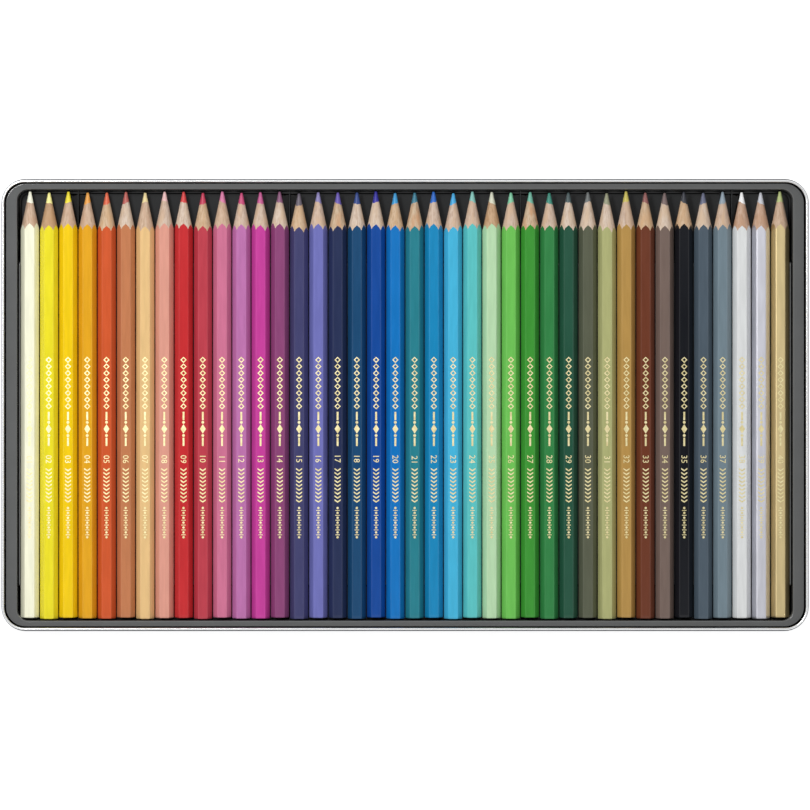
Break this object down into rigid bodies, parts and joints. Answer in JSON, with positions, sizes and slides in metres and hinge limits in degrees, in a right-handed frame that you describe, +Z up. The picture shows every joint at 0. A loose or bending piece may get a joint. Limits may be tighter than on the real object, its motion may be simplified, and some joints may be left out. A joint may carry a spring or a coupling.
{
  "type": "colored pencil tin",
  "caption": "Open flat metal tin with a formed plastic tray that holds a row of sharpened hexagonal colored pencils, its slip lid stowed under the base.",
  "frame": {"origin": "middle of the stowed lid's flat panel, on the surface that the tin lies on", "axes": "+X along the row of pencils, +Y the way the sharpened tips point, +Z up"},
  "size_m": [0.3314, 0.1856, 0.0157],
  "materials": {
    "tinplate": "bright tinned steel, satin",
    "tray_plastic": "vacuum-formed sheet, satin",
    "lacquer_01": "gloss lacquer over cedar",
    "lacquer_02": "gloss lacquer over cedar",
    "lacquer_03": "gloss lacquer over cedar",
    "lacquer_04": "gloss lacquer over cedar",
    "lacquer_05": "gloss lacquer over cedar",
    "lacquer_06": "gloss lacquer over cedar",
    "lacquer_07": "gloss lacquer over cedar",
    "lacquer_08": "gloss lacquer over cedar",
    "lacquer_09": "gloss lacquer over cedar",
    "lacquer_10": "gloss lacquer over cedar",
    "lacquer_11": "gloss lacquer over cedar",
    "lacquer_12": "gloss lacquer over cedar",
    "lacquer_13": "gloss lacquer over cedar",
    "lacquer_14": "gloss lacquer over cedar",
    "lacquer_15": "gloss lacquer over cedar",
    "lacquer_16": "gloss lacquer over cedar",
    "lacquer_17": "gloss lacquer over cedar",
    "lacquer_18": "gloss lacquer over cedar",
    "lacquer_19": "gloss lacquer over cedar",
    "lacquer_20": "gloss lacquer over cedar",
    "lacquer_21": "gloss lacquer over cedar",
    "lacquer_22": "gloss lacquer over cedar",
    "lacquer_23": "gloss lacquer over cedar",
    "lacquer_24": "gloss lacquer over cedar",
    "lacquer_25": "gloss lacquer over cedar",
    "lacquer_26": "gloss lacquer over cedar",
    "lacquer_27": "gloss lacquer over cedar",
    "lacquer_28": "gloss lacquer over cedar",
    "lacquer_29": "gloss lacquer over cedar",
    "lacquer_30": "gloss lacquer over cedar",
    "lacquer_31": "gloss lacquer over cedar",
    "lacquer_32": "gloss lacquer over cedar",
    "lacquer_33": "gloss lacquer over cedar",
    "lacquer_34": "gloss lacquer over cedar",
    "lacquer_35": "gloss lacquer over cedar",
    "lacquer_36": "gloss lacquer over cedar",
    "lacquer_37": "gloss lacquer over cedar",
    "lacquer_38": "gloss lacquer over cedar",
    "lacquer_39": "gloss lacquer over cedar",
    "lacquer_40": "gloss lacquer over cedar"
  },
  "bodies": {
    "lid": {"lid": "tinplate"},
    "tin_base": {"tin_base": "tinplate"},
    "tray": {"tray": "tray_plastic"},
    "pencil_01": {"pencil_01": "lacquer_01"},
    "pencil_02": {"pencil_02": "lacquer_02"},
    "pencil_03": {"pencil_03": "lacquer_03"},
    "pencil_04": {"pencil_04": "lacquer_04"},
    "pencil_05": {"pencil_05": "lacquer_05"},
    "pencil_06": {"pencil_06": "lacquer_06"},
    "pencil_07": {"pencil_07": "lacquer_07"},
    "pencil_08": {"pencil_08": "lacquer_08"},
    "pencil_09": {"pencil_09": "lacquer_09"},
    "pencil_10": {"pencil_10": "lacquer_10"},
    "pencil_11": {"pencil_11": "lacquer_11"},
    "pencil_12": {"pencil_12": "lacquer_12"},
    "pencil_13": {"pencil_13": "lacquer_13"},
    "pencil_14": {"pencil_14": "lacquer_14"},
    "pencil_15": {"pencil_15": "lacquer_15"},
    "pencil_16": {"pencil_16": "lacquer_16"},
    "pencil_17": {"pencil_17": "lacquer_17"},
    "pencil_18": {"pencil_18": "lacquer_18"},
    "pencil_19": {"pencil_19": "lacquer_19"},
    "pencil_20": {"pencil_20": "lacquer_20"},
    "pencil_21": {"pencil_21": "lacquer_21"},
    "pencil_22": {"pencil_22": "lacquer_22"},
    "pencil_23": {"pencil_23": "lacquer_23"},
    "pencil_24": {"pencil_24": "lacquer_24"},
    "pencil_25": {"pencil_25": "lacquer_25"},
    "pencil_26": {"pencil_26": "lacquer_26"},
    "pencil_27": {"pencil_27": "lacquer_27"},
    "pencil_28": {"pencil_28": "lacquer_28"},
    "pencil_29": {"pencil_29": "lacquer_29"},
    "pencil_30": {"pencil_30": "lacquer_30"},
    "pencil_31": {"pencil_31": "lacquer_31"},
    "pencil_32": {"pencil_32": "lacquer_32"},
    "pencil_33": {"pencil_33": "lacquer_33"},
    "pencil_34": {"pencil_34": "lacquer_34"},
    "pencil_35": {"pencil_35": "lacquer_35"},
    "pencil_36": {"pencil_36": "lacquer_36"},
    "pencil_37": {"pencil_37": "lacquer_37"},
    "pencil_38": {"pencil_38": "lacquer_38"},
    "pencil_39": {"pencil_39": "lacquer_39"},
    "pencil_40": {"pencil_40": "lacquer_40"}
  },
  "joints": [
    {"name": "base_lift", "type": "slide", "parent": "lid", "child": "tin_base", "axis": [0, 0, 1], "range_m": [0, 0.03]},
    {"name": "tray_lift", "type": "slide", "parent": "tin_base", "child": "tray", "axis": [0, 0, 1], "range_m": [0, 0.025]},
    {"name": "pencil_01_lift", "type": "slide", "parent": "tray", "child": "pencil_01", "axis": [0, 0, 1], "range_m": [0, 0.02]},
    {"name": "pencil_02_lift", "type": "slide", "parent": "tray", "child": "pencil_02", "axis": [0, 0, 1], "range_m": [0, 0.02]},
    {"name": "pencil_03_lift", "type": "slide", "parent": "tray", "child": "pencil_03", "axis": [0, 0, 1], "range_m": [0, 0.02]},
    {"name": "pencil_04_lift", "type": "slide", "parent": "tray", "child": "pencil_04", "axis": [0, 0, 1], "range_m": [0, 0.02]},
    {"name": "pencil_05_lift", "type": "slide", "parent": "tray", "child": "pencil_05", "axis": [0, 0, 1], "range_m": [0, 0.02]},
    {"name": "pencil_06_lift", "type": "slide", "parent": "tray", "child": "pencil_06", "axis": [0, 0, 1], "range_m": [0, 0.02]},
    {"name": "pencil_07_lift", "type": "slide", "parent": "tray", "child": "pencil_07", "axis": [0, 0, 1], "range_m": [0, 0.02]},
    {"name": "pencil_08_lift", "type": "slide", "parent": "tray", "child": "pencil_08", "axis": [0, 0, 1], "range_m": [0, 0.02]},
    {"name": "pencil_09_lift", "type": "slide", "parent": "tray", "child": "pencil_09", "axis": [0, 0, 1], "range_m": [0, 0.02]},
    {"name": "pencil_10_lift", "type": "slide", "parent": "tray", "child": "pencil_10", "axis": [0, 0, 1], "range_m": [0, 0.02]},
    {"name": "pencil_11_lift", "type": "slide", "parent": "tray", "child": "pencil_11", "axis": [0, 0, 1], "range_m": [0, 0.02]},
    {"name": "pencil_12_lift", "type": "slide", "parent": "tray", "child": "pencil_12", "axis": [0, 0, 1], "range_m": [0, 0.02]},
    {"name": "pencil_13_lift", "type": "slide", "parent": "tray", "child": "pencil_13", "axis": [0, 0, 1], "range_m": [0, 0.02]},
    {"name": "pencil_14_lift", "type": "slide", "parent": "tray", "child": "pencil_14", "axis": [0, 0, 1], "range_m": [0, 0.02]},
    {"name": "pencil_15_lift", "type": "slide", "parent": "tray", "child": "pencil_15", "axis": [0, 0, 1], "range_m": [0, 0.02]},
    {"name": "pencil_16_lift", "type": "slide", "parent": "tray", "child": "pencil_16", "axis": [0, 0, 1], "range_m": [0, 0.02]},
    {"name": "pencil_17_lift", "type": "slide", "parent": "tray", "child": "pencil_17", "axis": [0, 0, 1], "range_m": [0, 0.02]},
    {"name": "pencil_18_lift", "type": "slide", "parent": "tray", "child": "pencil_18", "axis": [0, 0, 1], "range_m": [0, 0.02]},
    {"name": "pencil_19_lift", "type": "slide", "parent": "tray", "child": "pencil_19", "axis": [0, 0, 1], "range_m": [0, 0.02]},
    {"name": "pencil_20_lift", "type": "slide", "parent": "tray", "child": "pencil_20", "axis": [0, 0, 1], "range_m": [0, 0.02]},
    {"name": "pencil_21_lift", "type": "slide", "parent": "tray", "child": "pencil_21", "axis": [0, 0, 1], "range_m": [0, 0.02]},
    {"name": "pencil_22_lift", "type": "slide", "parent": "tray", "child": "pencil_22", "axis": [0, 0, 1], "range_m": [0, 0.02]},
    {"name": "pencil_23_lift", "type": "slide", "parent": "tray", "child": "pencil_23", "axis": [0, 0, 1], "range_m": [0, 0.02]},
    {"name": "pencil_24_lift", "type": "slide", "parent": "tray", "child": "pencil_24", "axis": [0, 0, 1], "range_m": [0, 0.02]},
    {"name": "pencil_25_lift", "type": "slide", "parent": "tray", "child": "pencil_25", "axis": [0, 0, 1], "range_m": [0, 0.02]},
    {"name": "pencil_26_lift", "type": "slide", "parent": "tray", "child": "pencil_26", "axis": [0, 0, 1], "range_m": [0, 0.02]},
    {"name": "pencil_27_lift", "type": "slide", "parent": "tray", "child": "pencil_27", "axis": [0, 0, 1], "range_m": [0, 0.02]},
    {"name": "pencil_28_lift", "type": "slide", "parent": "tray", "child": "pencil_28", "axis": [0, 0, 1], "range_m": [0, 0.02]},
    {"name": "pencil_29_lift", "type": "slide", "parent": "tray", "child": "pencil_29", "axis": [0, 0, 1], "range_m": [0, 0.02]},
    {"name": "pencil_30_lift", "type": "slide", "parent": "tray", "child": "pencil_30", "axis": [0, 0, 1], "range_m": [0, 0.02]},
    {"name": "pencil_31_lift", "type": "slide", "parent": "tray", "child": "pencil_31", "axis": [0, 0, 1], "range_m": [0, 0.02]},
    {"name": "pencil_32_lift", "type": "slide", "parent": "tray", "child": "pencil_32", "axis": [0, 0, 1], "range_m": [0, 0.02]},
    {"name": "pencil_33_lift", "type": "slide", "parent": "tray", "child": "pencil_33", "axis": [0, 0, 1], "range_m": [0, 0.02]},
    {"name": "pencil_34_lift", "type": "slide", "parent": "tray", "child": "pencil_34", "axis": [0, 0, 1], "range_m": [0, 0.02]},
    {"name": "pencil_35_lift", "type": "slide", "parent": "tray", "child": "pencil_35", "axis": [0, 0, 1], "range_m": [0, 0.02]},
    {"name": "pencil_36_lift", "type": "slide", "parent": "tray", "child": "pencil_36", "axis": [0, 0, 1], "range_m": [0, 0.02]},
    {"name": "pencil_37_lift", "type": "slide", "parent": "tray", "child": "pencil_37", "axis": [0, 0, 1], "range_m": [0, 0.02]},
    {"name": "pencil_38_lift", "type": "slide", "parent": "tray", "child": "pencil_38", "axis": [0, 0, 1], "range_m": [0, 0.02]},
    {"name": "pencil_39_lift", "type": "slide", "parent": "tray", "child": "pencil_39", "axis": [0, 0, 1], "range_m": [0, 0.02]},
    {"name": "pencil_40_lift", "type": "slide", "parent": "tray", "child": "pencil_40", "axis": [0, 0, 1], "range_m": [0, 0.02]}
  ]
}
